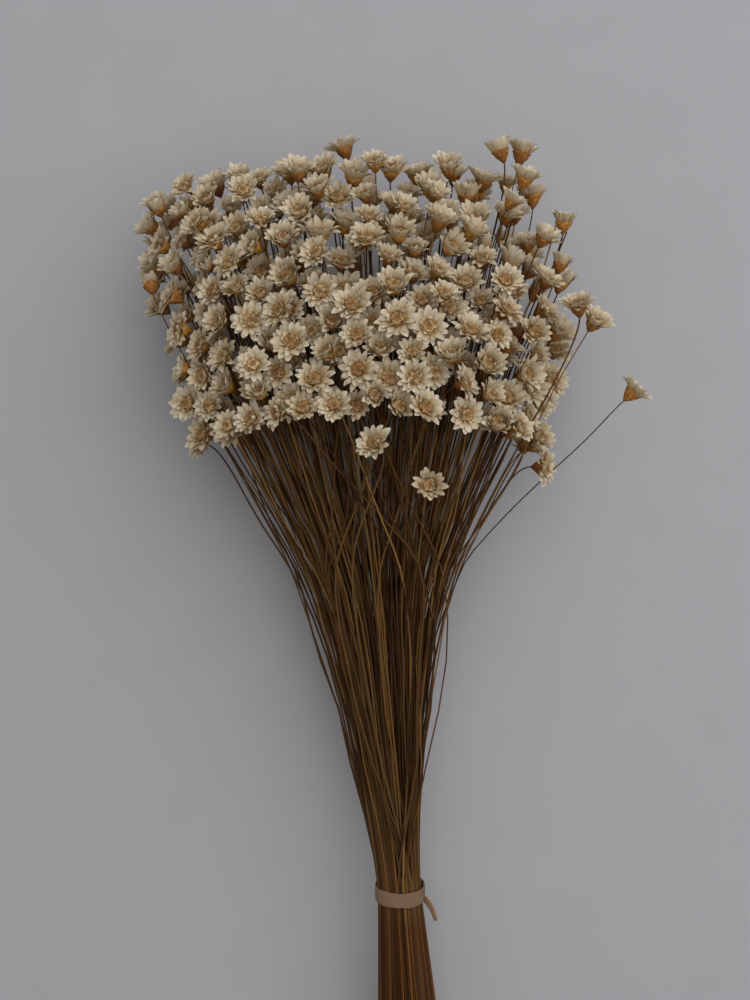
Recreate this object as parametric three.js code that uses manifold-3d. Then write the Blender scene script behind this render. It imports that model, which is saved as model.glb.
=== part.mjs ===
// A tied bunch of preserved glixia, lying on its side: 16 sprays of 20 dry stems, each stem with its star
// bloom, held by one flat elastic band. Millimetres. X runs across the bunch, Y along it from the cut ends
// to the blooms, Z is up.
import * as THREE from "three";
import { mergeVertices } from "three/addons/utils/BufferGeometryUtils.js";
import Module from "manifold-3d";

const wasm = await Module();
wasm.setup();

// Sprays: how many, the flowers in each, and the rows from the middle out that they fill at the band.
const SPRAYS = 16;
const PER_SPRAY = 20;
const ROWS = [1, 2, 3, 4, 5, 5];
const SECTOR = (2 * Math.PI) / SPRAYS;

// Stems. Heights along the bunch are measured from the middle of the band. Hug is how near the middle of
// the bundle a stem stays on its way, as a share of its even way.
const CUT_END = -122;
const CUT_RADIUS = 17;
const TIE_RADIUS = 7.5;
const OUTER_ROW = 7.05;
const NECK_TOP = 74;
const MID_KNOT = 118;
const FLARE_END = 250;
const FLARE_POWER = 1.8;
const HUG = 0.88;
const STEM_RADIUS = 0.4;
const STEM_SIDES = 3;

// The middle line of the bunch: its height over the surface at the band, and its rise and lean per
// millimetre.
const AXIS_HEIGHT = 23.8;
const AXIS_RISE = 0.062;
const AXIS_LEAN = -0.068;

// The head of blooms: its lower rim, its top, its half width and its depth off the middle line.
const HEAD_LOW = 163;
const HEAD_LOW_DROP = 9;
const HEAD_TOP = 245;
const HEAD_TOP_LEAN = 2;
const HEAD_TOP_DROP = 10;
const HEAD_WIDTH_LOW = 57;
const HEAD_WIDTH_GAIN = 14;
const HEAD_WIDTH_POWER = 0.9;
const HEAD_DEPTH = 34;
const HEAD_DEPTH_REACH = 0.92;
const HEAD_DEPTH_POWER = 2.4;
const HEAD_EDGE = 3;
const HEAD_LAYER = 17;
const FIRST_LAYER = 12;
const UNDER_CLEAR = 6;

// How far a bloom leans out of the bunch, in degrees: at the lower rim, and how much less at the top and
// how much less again at its right corner.
const FRONT_LEAN = 80;
const FRONT_LEAN_FALL = 38;
const RIGHT_LEAN_FALL = 24;
const FRONT_LEAN_POWER = 1.4;
const UNDER_LEAN = 46;
const UNDER_LEAN_FALL = 22;
const SIDE_TURN = 40;
const LEAN_JITTER = 22;
const TURN_JITTER = 40;

// Blooms. Lengths along a bloom's own axis start at the level where its petals spread.
const BLOOM_RADIUS = 5.2;
const CUP_DEPTH = 4.7;
const PETALS = 5;
const LEAST_SIZE = 0.84;
const SIZE_RANGE = 0.3;
const LEAST_STRAY_SIZE = 0.95;
const STRAY_SIZE_RANGE = 0.15;
const MOST_CLOSED = 0.5;
const CLOSED_POWER = 3;
const CLOSED_NARROWING = 0.38;
const VALLEY_RADIUS = 0.66;
const INNER_RADIUS = 0.46;
const TIP_LIFT = { open: 2.2, closing: 4 };
const VALLEY_LIFT = { open: 0.4, closing: 2 };
const INNER_LIFT = { open: 2.6, closing: 2.5 };
const MIDDLE_LIFT = 0.8;

// How many blooms the head has above and below its middle line, and the steps of their even scatter over
// it.
const FRONT_BLOOMS = 229;
const UNDER_BLOOMS = 80;
const ACROSS_STEP = 0.7548776662466927;
const UP_STEP = 0.5698402909980532;
const SEED = 7;

// Flowers that stand out of the head, set by hand: place of the bloom across, along and up from the stems'
// middle line, and how far its face leans out and turns to the right, in degrees. The bare ones have lost
// their bloom.
const STRAYS = [
  { x: 77, y: 170, z: 15, out: 48, turn: 75, hug: 0.66 },
  { x: 48, y: 145, z: 12, out: 95, turn: 60, hug: 0.72 },
  { x: 64, y: 193, z: 16, out: 52, turn: 30 },
  { x: 57, y: 197, z: 24, out: 35, turn: -20 },
  { x: 9, y: 138, z: 28, out: 84, turn: 4 },
  { x: -9, y: 151, z: 35, out: 70, turn: -30 },
  { x: 41, y: 252, z: 4, out: 16, turn: 60 },
  { x: 33, y: 251, z: 10, out: 22, turn: -60 },
  { x: -19, y: 253, z: 5, out: 18, turn: -80 },
];
const BARE = [
  { x: 54, y: 233, z: 12, out: 20, turn: 60 },
  { x: 58, y: 229, z: 2, out: 24, turn: 80 },
];

// Room that flowers keep from each other. A bloom is a flat ellipsoid that other blooms stay out of, and a
// smaller one, set a little below its petals, that other flowers' stems stay out of. Tail steps are places
// down a stem.
const FIRST_ROUNDS = 200;
const LAST_ROUNDS = 120;
const STEP = 0.4;
const MOST_PUSH = 1.6;
const BLOOM_LATERAL = 10.5;
const BLOOM_AXIAL = 7.3;
const STEM_LATERAL = 7;
const STEM_AXIAL = 5.4;
const STEM_BELOW = 0.6;
const STEM_APART = 1.5;
const TAIL_STEPS = [2.5, 5.5, 9, 13, 18, 24, 31, 39];
const TAIL_REACH = 48;

// Places are kept to this part of a millimetre after each move, so that they come out alike on any machine.
const GRID = 10000;

// Room between stems where they pass a height, and between stems and the sides of their spray's strand.
const STEM_SPACE = 1.1;
const SIDE_MARGIN = 0.46;
const SPREAD_PASSES = 60;

// Half width and half depth of the whole bundle of stems at the end of the flare, if every stem went on to
// it.
const REACH_X = 103;
const REACH_Z = 60;

// The solid strand of packed stems: the heights of its rings, the bulge at each of its outer corners, its
// distance from the next strand, and how deep the single stems are rooted in its top.
const STRAND_LEVELS = [NECK_TOP, 40, 3, -3, CUT_END];
const RIBS = [1, 0.965, 1, 0.965, 1];
const STRAND_GAP = 0.36;
const ROOT_DEPTH = 0.05;

// Moves that bend a flower clear of another spray's: the room it must then have, and how far the moves
// reach.
const CLEARANCE = 0.14;
const MOST_TRIES = 400;
const FIRST_MOVE = 0.4;
const MOVE_GROWTH = 0.05;
const LONGEST_MOVE = 3;
const FACE_MOVE = 6;
const KNOT_SHARE = 0.6;

// The flat elastic band, with the short loose tail that its knot leaves on the right.
const BAND_WIDTH = 4.2;
const BAND_INNER = 7.9;
const BAND_THICKNESS = 0.6;
const BAND_SIDES = 24;
const TAIL_ROUTE = [[0, 0], [1.6, -1.6], [2.9, -3.7], [3.2, -6.2], [2.6, -8.6]];
const TAIL_ROOT = 8.1;
const TAIL_BELOW = 1;
const TAIL_WIDTH = 3;

const WELD = 1e-4;

// The Lehmer generator, whose whole numbers stay exact.
function makeDraw(seed) {
  let state = seed;
  return () => {
    state = (state * 48271) % 2147483647;
    return state / 2147483647;
  };
}

const clamp = (value, low, high) => Math.min(high, Math.max(low, value));
const fraction = (value) => value - Math.floor(value);
const radians = (degrees) => (degrees * Math.PI) / 180;
const snap = (value) => Math.floor(value * GRID + 0.5) / GRID;

const axisX = (y) => AXIS_LEAN * y;
const axisZ = (y) => AXIS_HEIGHT + AXIS_RISE * y;

// How far a stem has left its place at the band, as a share of its whole way out.
const flare = (y) => Math.max(0, y / FLARE_END) ** FLARE_POWER;

// How much wider than at the band the stems stand: they spread below it, toward their cut ends.
const splay = (y) => 1 + (CUT_RADIUS / TIE_RADIUS - 1) * (Math.min(0, y) / CUT_END);

// The head is a shell. u runs across it from -1 to 1, v runs up it from 0 to 1.
const headLow = (u) => HEAD_LOW - HEAD_LOW_DROP * u * u;
const headTop = (u) => HEAD_TOP + HEAD_TOP_LEAN * u - HEAD_TOP_DROP * u ** 4;
const headWidth = (v) => HEAD_WIDTH_LOW + HEAD_WIDTH_GAIN * Math.sin(0.5 * Math.PI * v ** HEAD_WIDTH_POWER);

// How far the shell stands off the middle line, above it (side 1) or below it (side -1), flattened where
// it lies.
function headDepth(u, v, y, side) {
  const alongRib = Math.sqrt(1 - (HEAD_DEPTH_REACH * v) ** 2);
  const acrossRib = Math.sqrt(1 - Math.min(1, Math.abs(u)) ** HEAD_DEPTH_POWER);
  const dome = HEAD_DEPTH * alongRib * acrossRib + HEAD_EDGE;
  return side > 0 ? dome : Math.min(dome, axisZ(y) - UNDER_CLEAR);
}

// Which way a bloom looks: along the bunch at the top, out of it at the lower rim.
function facing(out, turn, side) {
  const outward = radians(out);
  const sideways = radians(turn);
  return new THREE.Vector3(
    Math.sin(outward) * Math.sin(sideways),
    Math.cos(outward),
    side * Math.sin(outward) * Math.cos(sideways),
  );
}

// Each flower of the head starts on an even scatter over the shell, with its own size, openness and lean.
function scatter(count, side, draw) {
  const flowers = [];
  for (let i = 0; i < count; i += 1) {
    const u = 2 * fraction(0.5 + (i + 1) * ACROSS_STEP) - 1;
    const v = fraction(0.5 + (i + 1) * UP_STEP);
    const y = headLow(u) + v * (headTop(u) - headLow(u));
    flowers.push({
      side,
      free: true,
      blooms: true,
      hug: HUG,
      x: axisX(y) + u * headWidth(v),
      y,
      z: axisZ(y) + side * (headDepth(u, v, y, side) - FIRST_LAYER * draw()),
      outJitter: LEAN_JITTER * (draw() + draw() - 1),
      turnJitter: TURN_JITTER * (draw() + draw() - 1),
      size: LEAST_SIZE + SIZE_RANGE * draw(),
      open: 1 - MOST_CLOSED * draw() ** CLOSED_POWER,
      spin: 360 * draw(),
    });
  }
  return flowers;
}

function handPlaced(entries, blooms, draw) {
  return entries.map((entry) => ({
    side: 1,
    free: false,
    blooms,
    x: entry.x,
    y: entry.y,
    z: axisZ(entry.y) + entry.z,
    out: entry.out,
    turn: entry.turn,
    hug: entry.hug ?? HUG,
    size: LEAST_STRAY_SIZE + STRAY_SIZE_RANGE * draw(),
    open: 1,
    spin: 360 * draw(),
  }));
}

// Puts a flower of the head back on its shell and turns it to face out of it.
function settle(flower) {
  if (flower.free) {
    let u = 0;
    let v = 0.5;
    for (let pass = 0; pass < 3; pass += 1) {
      u = clamp((flower.x - axisX(flower.y)) / headWidth(v), -1, 1);
      v = clamp((flower.y - headLow(u)) / (headTop(u) - headLow(u)), 0, 1);
    }
    flower.y = snap(headLow(u) + v * (headTop(u) - headLow(u)));
    flower.x = snap(axisX(flower.y) + u * headWidth(v));
    const depth = headDepth(u, v, flower.y, flower.side);
    const off = flower.side * (flower.z - axisZ(flower.y));
    flower.z = snap(axisZ(flower.y) + flower.side * clamp(off, depth - HEAD_LAYER, depth));
    const frontLean = FRONT_LEAN - (FRONT_LEAN_FALL + RIGHT_LEAN_FALL * u) * v ** FRONT_LEAN_POWER;
    const lean = flower.side > 0 ? frontLean : UNDER_LEAN - UNDER_LEAN_FALL * v;
    flower.out = lean + flower.outJitter;
    flower.turn = SIDE_TURN * u + flower.turnJitter;
  }
  flower.centre = new THREE.Vector3(flower.x, flower.y, flower.z);
  flower.face = facing(flower.out, flower.turn, flower.side);
  flower.base = flower.centre.clone().addScaledVector(flower.face, -CUP_DEPTH * flower.size);
  const nearer = flare(MID_KNOT) / flare(flower.base.y);
  const knot = flower.knot ?? new THREE.Vector3(
    axisX(MID_KNOT) + (flower.base.x - axisX(flower.base.y)) * nearer,
    MID_KNOT,
    axisZ(MID_KNOT) + (flower.base.z - axisZ(flower.base.y)) * nearer,
  );
  flower.down = knot.clone().sub(flower.base).normalize();
}

// Adds to both pushes what takes the offset between two things out of an ellipsoid about the axis.
function repel(offset, axis, across, along, pushA, pushB) {
  const axial = offset.dot(axis);
  const lateral = offset.clone().addScaledVector(axis, -axial);
  const reach = Math.sqrt(lateral.lengthSq() / across ** 2 + (axial / along) ** 2);
  if (reach >= 1) return;
  lateral.multiplyScalar(1 / across ** 2).addScaledVector(axis, axial / along ** 2);
  lateral.normalize().multiplyScalar(0.5 * (1 - reach) * across);
  pushA.add(lateral);
  pushB.sub(lateral);
}

// Pushes the flowers apart, round by round, until each bloom has its own room.
function relax(flowers, rounds) {
  for (let round = 0; round < rounds; round += 1) {
    const pushes = flowers.map(() => new THREE.Vector3());
    const tails = flowers.map((flower) => TAIL_STEPS.map((step) =>
      flower.base.clone().addScaledVector(flower.down, step)));
    flowers.forEach((a, i) => {
      const heart = a.centre.clone().addScaledVector(a.face, -STEM_BELOW);
      flowers.forEach((b, j) => {
        if (i === j || a.centre.distanceTo(b.centre) > TAIL_REACH) return;
        if (j > i && a.blooms && b.blooms) {
          const across = 0.5 * BLOOM_LATERAL * (a.size + b.size);
          repel(a.centre.clone().sub(b.centre), a.face.clone().add(b.face).normalize(), across, BLOOM_AXIAL,
            pushes[i], pushes[j]);
        }
        for (const point of tails[j]) {
          if (a.blooms) {
            repel(heart.clone().sub(point), a.face, STEM_LATERAL * a.size, STEM_AXIAL, pushes[i], pushes[j]);
          }
          repel(a.base.clone().sub(point), a.down, STEM_APART, STEM_AXIAL, pushes[i], pushes[j]);
        }
      });
    });
    flowers.forEach((flower, i) => {
      if (!flower.free) return;
      pushes[i].multiplyScalar(STEP).clampLength(0, MOST_PUSH);
      flower.x += pushes[i].x;
      flower.y += pushes[i].y;
      flower.z += pushes[i].z;
      settle(flower);
    });
  }
}

function makeFlowers() {
  const draw = makeDraw(SEED);
  const flowers = [
    ...scatter(FRONT_BLOOMS, 1, draw),
    ...scatter(UNDER_BLOOMS, -1, draw),
    ...handPlaced(STRAYS, true, draw),
    ...handPlaced(BARE, false, draw),
  ];
  flowers.forEach(settle);
  relax(flowers, FIRST_ROUNDS);
  return flowers;
}

// Where a stem would be at the end of the flare if it went on past its bloom.
function measureReach(flower) {
  const share = flare(flower.base.y);
  flower.reachX = (flower.base.x - axisX(flower.base.y) - flower.tieX * (1 - share)) / share;
  flower.reachZ = (flower.base.z - axisZ(flower.base.y) - flower.tieZ * (1 - share)) / share;
}

// Deals the flowers to the sprays so that no stem crosses another: by their angle round the bunch, then in
// rows from the middle out, and by angle again within a row. The places at the band are then in the same
// order.
function deal(flowers) {
  for (const flower of flowers) {
    flower.tieX = 0;
    flower.tieZ = 0;
    measureReach(flower);
    flower.angle = Math.atan2(flower.reachZ / REACH_Z, flower.reachX / REACH_X);
    flower.radius = Math.hypot(flower.reachZ / REACH_Z, flower.reachX / REACH_X);
  }
  const round = [...flowers].sort((a, b) => a.angle - b.angle);
  const sprays = [];
  for (let spray = 0; spray < SPRAYS; spray += 1) {
    const members = round.slice(spray * PER_SPRAY, (spray + 1) * PER_SPRAY);
    members.sort((a, b) => a.radius - b.radius);
    let from = 0;
    for (const size of ROWS) {
      const row = members.slice(from, from + size).sort((a, b) => a.angle - b.angle);
      row.forEach((flower, place) => {
        const radius = OUTER_ROW * Math.sqrt((from + 0.5 * size) / PER_SPRAY);
        const angle = -Math.PI + SECTOR * (spray + (place + 0.5) / size);
        flower.tieX = radius * Math.cos(angle);
        flower.tieZ = radius * Math.sin(angle);
        flower.spray = spray;
        measureReach(flower);
      });
      from += size;
    }
    sprays.push(members);
  }
  return sprays;
}

// Where a stem is at a height, off the middle line: at its own place in the band, and flaring above it.
function stemPlace(flower, y) {
  const share = flare(y);
  const held = splay(y) * (1 - share);
  return new THREE.Vector2(
    flower.tieX * held + flower.reachX * share * flower.hug,
    flower.tieZ * held + flower.reachZ * share * flower.hug,
  );
}

// Where stems pass a height, moved until they are apart from each other and inside the sides of the
// section, if any.
function spreadPlaces(members, y, section) {
  const places = members.map((flower) => stemPlace(flower, y));
  for (let pass = 0; pass < SPREAD_PASSES; pass += 1) {
    const before = places.map((place) => place.clone());
    places.forEach((place, i) => {
      before.forEach((other, j) => {
        const apart = before[i].clone().sub(other);
        const short = STEM_SPACE - apart.length();
        if (i !== j && short > 0) place.addScaledVector(apart.normalize(), 0.5 * short);
      });
      section.forEach((corner, i) => {
        const along = section[(i + 1) % section.length].clone().sub(corner).normalize();
        const short = SIDE_MARGIN - (along.x * (place.y - corner.y) - along.y * (place.x - corner.x));
        if (short > 0) place.add(new THREE.Vector2(-along.y, along.x).multiplyScalar(short));
      });
    });
  }
  return places.map((place) => new THREE.Vector3(snap(axisX(y) + place.x), y, snap(axisZ(y) + place.y)));
}

// Turns a surface into a solid, its equal points welded.
function solidOf(geometry) {
  geometry.deleteAttribute("normal");
  geometry.deleteAttribute("uv");
  const merged = mergeVertices(geometry, WELD);
  return new wasm.Manifold(new wasm.Mesh({
    numProp: 3,
    vertProperties: Float32Array.from(merged.attributes.position.array),
    triVerts: Uint32Array.from(merged.index.array),
  }));
}

function solidFrom(points, triangles) {
  const geometry = new THREE.BufferGeometry().setFromPoints(points);
  geometry.setIndex(triangles.flat());
  return solidOf(geometry);
}

// The triangles between two rings that turn the same way, of any two counts, where both start at the same
// angle.
function stitch(lowStart, lowCount, highStart, highCount) {
  const triangles = [];
  let low = 0;
  let high = 0;
  while (low < lowCount || high < highCount) {
    const lowHere = lowStart + (low % lowCount);
    const highHere = highStart + (high % highCount);
    if (high >= highCount || (low < lowCount && (low + 0.5) / lowCount < (high + 0.5) / highCount)) {
      triangles.push([lowHere, lowStart + ((low + 1) % lowCount), highHere]);
      low += 1;
    } else {
      triangles.push([lowHere, highStart + ((high + 1) % highCount), highHere]);
      high += 1;
    }
  }
  return triangles;
}

// One flower: a three-sided stem through its knots, the cup widening from its end to a star of petals, and
// a raised inner ring of petals round a sunken middle. A bare stem ends blunt. Slack makes it larger, to
// try it for room.
function flowerSolid(flower, slack = 0) {
  const points = [];
  const turn = new THREE.Quaternion().setFromUnitVectors(new THREE.Vector3(0, 1, 0), flower.face);
  const level = new THREE.Quaternion();
  const place = (centre, rotation, radius, step, steps, lift) => {
    const angle = radians(flower.spin) + (2 * Math.PI * step) / steps;
    const point = new THREE.Vector3(radius * Math.cos(angle), lift, -radius * Math.sin(angle));
    points.push(point.applyQuaternion(rotation).add(centre));
  };
  for (const [centre, rotation] of [[flower.foot, level], [flower.knot, level], [flower.base, turn]]) {
    for (let side = 0; side < STEM_SIDES; side += 1) {
      place(centre, rotation, STEM_RADIUS + slack, side, STEM_SIDES, 0);
    }
  }
  const end = 2 * STEM_SIDES;
  const triangles = [[2, 1, 0], ...stitch(0, STEM_SIDES, STEM_SIDES, STEM_SIDES)];
  triangles.push(...stitch(STEM_SIDES, STEM_SIDES, end, STEM_SIDES));
  if (!flower.blooms) {
    triangles.push([end, end + 1, end + 2]);
    return solidFrom(points, triangles);
  }
  const closing = 1 - flower.open;
  const radius = slack + BLOOM_RADIUS * flower.size * (1 - CLOSED_NARROWING * closing);
  const lifted = (lift) => lift.open + lift.closing * closing;
  const outer = points.length;
  const around = 2 * PETALS;
  for (let step = 0; step < around; step += 2) {
    place(flower.centre, turn, radius, step, around, lifted(TIP_LIFT));
    place(flower.centre, turn, VALLEY_RADIUS * radius, step + 1, around, lifted(VALLEY_LIFT));
  }
  triangles.push(...stitch(end, STEM_SIDES, outer, around));
  const inner = points.length;
  for (let step = 0; step < PETALS; step += 1) {
    place(flower.centre, turn, INNER_RADIUS * radius, step + 0.5, PETALS, slack + lifted(INNER_LIFT));
  }
  const middle = points.length;
  place(flower.centre, turn, 0, 0, 1, MIDDLE_LIFT);
  for (let step = 0; step < PETALS; step += 1) {
    const tip = outer + 2 * step;
    const valley = tip + 1;
    const nextTip = outer + ((2 * step + 2) % around);
    const here = inner + step;
    const next = inner + ((step + 1) % PETALS);
    triangles.push([tip, valley, here], [valley, nextTip, here], [here, nextTip, next], [here, next, middle]);
  }
  return solidFrom(points, triangles);
}

// The outline of the whole bundle at a height: a round tie that spreads into an ellipse. A corner is a
// place round it, counted in sprays, and the sprays' shares of the head are not all alike.
function outlinePoint(corner, turns, y, bulge) {
  const share = flare(y);
  const spray = Math.floor(corner);
  const here = turns[spray % SPRAYS] + 2 * Math.PI * Math.floor(spray / SPRAYS);
  const next = turns[(spray + 1) % SPRAYS] + 2 * Math.PI * Math.floor((spray + 1) / SPRAYS);
  const headAngle = here + (next - here) * (corner - spray);
  const tieAngle = -Math.PI + SECTOR * corner;
  const tie = TIE_RADIUS * bulge * splay(y) * (1 - share);
  return new THREE.Vector2(
    tie * Math.cos(tieAngle) + REACH_X * bulge * share * Math.cos(headAngle),
    tie * Math.sin(tieAngle) + REACH_Z * bulge * share * Math.sin(headAngle),
  );
}

// A spray's own slice of the bundle at a height: a wedge set back from its neighbours, with two ribs on
// its outside.
function wedge(spray, turns, y) {
  const inset = (to, side) => {
    const along = to.clone().normalize();
    return new THREE.Vector2(-along.y, along.x).multiplyScalar(side * 0.5 * STRAND_GAP);
  };
  const first = outlinePoint(spray, turns, y, 1);
  const last = outlinePoint(spray + 1, turns, y, 1);
  const opening = Math.acos(clamp(first.dot(last) / (first.length() * last.length()), -1, 1));
  const apex = first.clone().normalize().add(last.clone().normalize()).normalize();
  apex.multiplyScalar((0.5 * STRAND_GAP) / Math.sin(0.5 * opening));
  const arc = RIBS.map((bulge, step) => outlinePoint(spray + step / (RIBS.length - 1), turns, y, bulge));
  arc[0].add(inset(first, 1));
  arc[arc.length - 1].add(inset(last, -1));
  return [apex, ...arc];
}

function strandSolid(spray, turns) {
  const rings = STRAND_LEVELS.map((y) => wedge(spray, turns, y).map((p) =>
    new THREE.Vector3(axisX(y) + p.x, y, axisZ(y) + p.y)));
  const count = rings[0].length;
  const triangles = [];
  for (let level = 0; level + 1 < rings.length; level += 1) {
    for (let i = 0; i < count; i += 1) {
      const j = (i + 1) % count;
      const [lowI, lowJ] = [level * count + i, level * count + j];
      const [highI, highJ] = [lowI + count, lowJ + count];
      if (j === 0) triangles.push([lowI, lowJ, highI], [lowJ, highJ, highI]);
      else triangles.push([lowI, lowJ, highJ], [lowI, highJ, highI]);
    }
  }
  const end = (rings.length - 1) * count;
  for (let i = 1; i + 1 < count; i += 1) {
    triangles.push([0, i + 1, i], [end, end + i, end + i + 1]);
  }
  return solidFrom(rings.flat(), triangles);
}

function spraySolid(members, spray, turns) {
  return members.reduce((solid, flower) => solid.add(flowerSolid(flower)), strandSolid(spray, turns));
}

const boxesMeet = (box, other) =>
  [0, 1, 2].every((k) => box.min[k] < other.max[k] && other.min[k] < box.max[k]);

// Bends a flower clear wherever it would touch one of another spray, by the first small move that leaves
// it room.
function bendClear(flowers, draw) {
  const solids = flowers.map((flower) => flowerSolid(flower));
  const boxes = solids.map((solid) => solid.boundingBox());
  const crowded = (i) => {
    const solid = flowerSolid(flowers[i], CLEARANCE);
    const box = solid.boundingBox();
    return flowers.some((other, j) => other.spray !== flowers[i].spray && boxesMeet(box, boxes[j])
      && solid.intersect(solids[j]).volume() > 0);
  };
  flowers.forEach((flower, i) => {
    if (!crowded(i)) return;
    const kept = { ...flower };
    flower.free = false;
    for (let attempt = 1; attempt <= MOST_TRIES && crowded(i); attempt += 1) {
      const reach = Math.min(LONGEST_MOVE, FIRST_MOVE + MOVE_GROWTH * attempt);
      const move = () => reach * (2 * draw() - 1);
      flower.x = kept.x + move();
      flower.y = kept.y + move();
      flower.z = kept.z + flower.side * Math.abs(move());
      flower.knot = kept.knot.clone().add(new THREE.Vector3(KNOT_SHARE * move(), 0, KNOT_SHARE * move()));
      flower.out = kept.out + FACE_MOVE * move();
      flower.turn = kept.turn + FACE_MOVE * move();
      settle(flower);
    }
    solids[i] = flowerSolid(flower);
    boxes[i] = solids[i].boundingBox();
  });
}

function bandSolid() {
  const half = 0.5 * BAND_WIDTH;
  const outer = BAND_INNER + BAND_THICKNESS;
  const profile = [[BAND_INNER, -half], [outer, -half], [outer, half], [BAND_INNER, half]];
  const corners = [...profile, profile[0]].map(([x, y]) => new THREE.Vector2(x, y));
  const ring = new THREE.LatheGeometry(corners, BAND_SIDES);
  ring.translate(0, 0, axisZ(0));
  const points = [];
  for (const [out, along] of TAIL_ROUTE) {
    for (const [side, thick] of [[-1, -1], [1, -1], [1, 1], [-1, 1]]) {
      const x = TAIL_ROOT + out + 0.5 * BAND_THICKNESS * thick;
      points.push(new THREE.Vector3(x, along, axisZ(0) - TAIL_BELOW + 0.5 * TAIL_WIDTH * side));
    }
  }
  const triangles = [[0, 1, 2], [0, 2, 3]];
  for (let step = 0; step + 1 < TAIL_ROUTE.length; step += 1) {
    triangles.push(...stitch(4 * (step + 1), 4, 4 * step, 4));
  }
  const end = points.length - 4;
  triangles.push([end, end + 2, end + 1], [end, end + 3, end + 2]);
  return solidOf(ring).add(solidFrom(points, triangles));
}

function meshOf(solid, name, material) {
  const result = solid.getMesh();
  const geometry = new THREE.BufferGeometry();
  geometry.setAttribute("position", new THREE.BufferAttribute(new Float32Array(result.vertProperties), 3));
  geometry.setIndex(new THREE.BufferAttribute(new Uint32Array(result.triVerts), 1));
  const mesh = new THREE.Mesh(geometry, material);
  mesh.name = name;
  return mesh;
}

const bloomMaterial = new THREE.MeshStandardMaterial({ color: 0xc8bfa5, roughness: 0.8, metalness: 0 });
const bandMaterial = new THREE.MeshStandardMaterial({ color: 0xb79f80, roughness: 0.7, metalness: 0 });

// The flowers are placed and dealt, then placed again with their stems held apart where they leave the
// bundle.
const flowers = makeFlowers();
const sprays = deal(flowers);
spreadPlaces(flowers, MID_KNOT, []).forEach((place, i) => {
  flowers[i].knot = place;
});
relax(flowers, LAST_ROUNDS);

// Where one spray's share of the head ends and the next one's starts, as angles round the bunch.
const turns = sprays.map((members, spray) => {
  const before = sprays[(spray + SPRAYS - 1) % SPRAYS];
  const first = Math.min(...members.map((flower) => flower.angle));
  const last = Math.max(...before.map((flower) => flower.angle)) - (spray === 0 ? 2 * Math.PI : 0);
  return 0.5 * (first + last);
});

// Each stem rises out of the flat top of its spray's strand, inside the four corners of the wedge.
sprays.forEach((members, spray) => {
  const corners = wedge(spray, turns, NECK_TOP).filter((corner, i) => i % 2 === 1 || i === 0);
  spreadPlaces(members, NECK_TOP, corners).forEach((place, i) => {
    members[i].foot = place.setY(NECK_TOP - ROOT_DEPTH);
  });
});
bendClear(flowers, makeDraw(SEED + 1));

const bunch = new THREE.Group();
sprays.forEach((members, spray) => {
  const name = `spray_${String(spray + 1).padStart(2, "0")}`;
  bunch.add(meshOf(spraySolid(members, spray, turns), name, bloomMaterial));
});
bunch.add(meshOf(bandSolid(), "tie_band", bandMaterial));

// The origin is on the surface, under the middle of the bunch's box.
const box = new THREE.Box3().setFromObject(bunch);
const middle = box.getCenter(new THREE.Vector3());
bunch.position.set(-middle.x, -middle.y, -box.min.z);

export default bunch;
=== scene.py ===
# %% [markdown]
# # A tied bunch of preserved glixia
#
# This lesson dresses a plain solid model of a dried bunch. The solids already have the right size and
# layout, so they are loaded as a frame that never moves, and each is replaced by finer pieces in the same
# place: wire-thin stems, golden cups, papery petals and a tan disc in the middle of each bloom. A frame in
# one shared set of axes is used because nothing then has to be fitted by eye.

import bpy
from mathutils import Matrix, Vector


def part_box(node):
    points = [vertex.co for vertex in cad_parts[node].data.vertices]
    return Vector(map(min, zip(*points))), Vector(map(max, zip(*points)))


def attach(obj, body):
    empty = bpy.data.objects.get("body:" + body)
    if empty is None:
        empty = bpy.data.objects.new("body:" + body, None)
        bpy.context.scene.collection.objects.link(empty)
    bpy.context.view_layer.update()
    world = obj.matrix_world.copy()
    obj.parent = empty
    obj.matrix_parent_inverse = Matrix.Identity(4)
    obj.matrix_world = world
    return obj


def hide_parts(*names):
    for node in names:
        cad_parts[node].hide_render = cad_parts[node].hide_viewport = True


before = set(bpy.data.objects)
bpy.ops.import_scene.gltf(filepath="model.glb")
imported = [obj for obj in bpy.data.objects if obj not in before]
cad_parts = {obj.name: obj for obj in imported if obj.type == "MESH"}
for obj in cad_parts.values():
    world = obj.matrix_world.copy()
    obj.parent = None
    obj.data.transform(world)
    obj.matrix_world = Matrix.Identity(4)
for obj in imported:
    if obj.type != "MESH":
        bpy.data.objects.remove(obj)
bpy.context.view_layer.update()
print("solids:", len(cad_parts))

# %% [markdown]
# ## The bunch, and where each flower stands
#
# The real thing is some hundreds of dry flowers, each one stem that ends in one bloom, tied below the
# middle and lying on its side. Nobody places them one by one: they are packed side by side, and each bloom
# pushes its neighbours away until it has room. The same can be done here. The blooms start on an even
# scatter over a domed shell, then push each other apart, round after round. Random draws come from a Lehmer
# generator, whose whole numbers stay exact, so that the bunch is the same on every run and the same as the
# solid parts that it covers.

# %% Driving dimensions, in millimetres from the middle of the band
import numpy as np

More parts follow.
